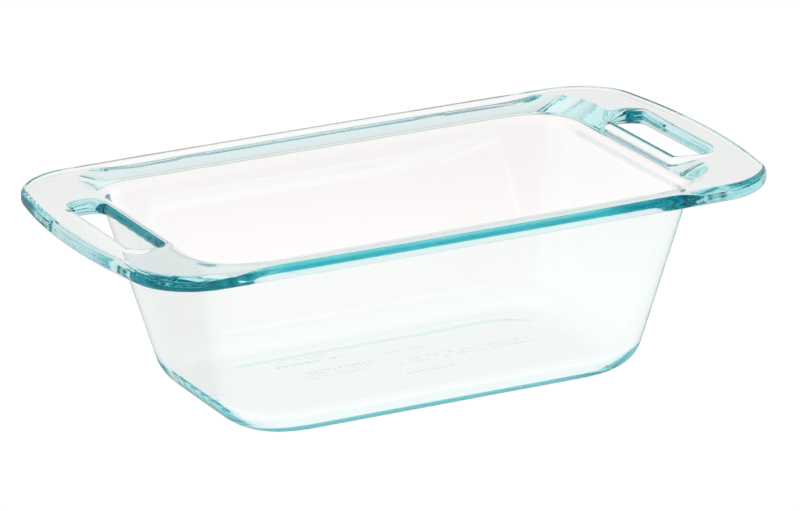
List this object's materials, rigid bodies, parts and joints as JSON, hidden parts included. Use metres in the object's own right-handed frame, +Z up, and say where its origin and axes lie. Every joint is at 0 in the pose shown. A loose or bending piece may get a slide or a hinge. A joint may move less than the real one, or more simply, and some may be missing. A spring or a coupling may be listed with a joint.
{
  "type": "loaf pan",
  "caption": "One-piece pressed glass loaf dish with tapered round-cornered basin, curled rim and looped end handles.",
  "frame": {"origin": "centre of the flat underside, on the surface that the dish stands on", "axes": "+Z up through the open mouth, +X along the length through both handles, +Y across the width"},
  "size_m": [0.272, 0.1548, 0.0795],
  "materials": {
    "pressed_glass": "clear pressed glass with a faint aqua tint that is strong at the edges"
  },
  "bodies": {
    "root": {"glass_dish": "pressed_glass"}
  },
  "joints": []
}
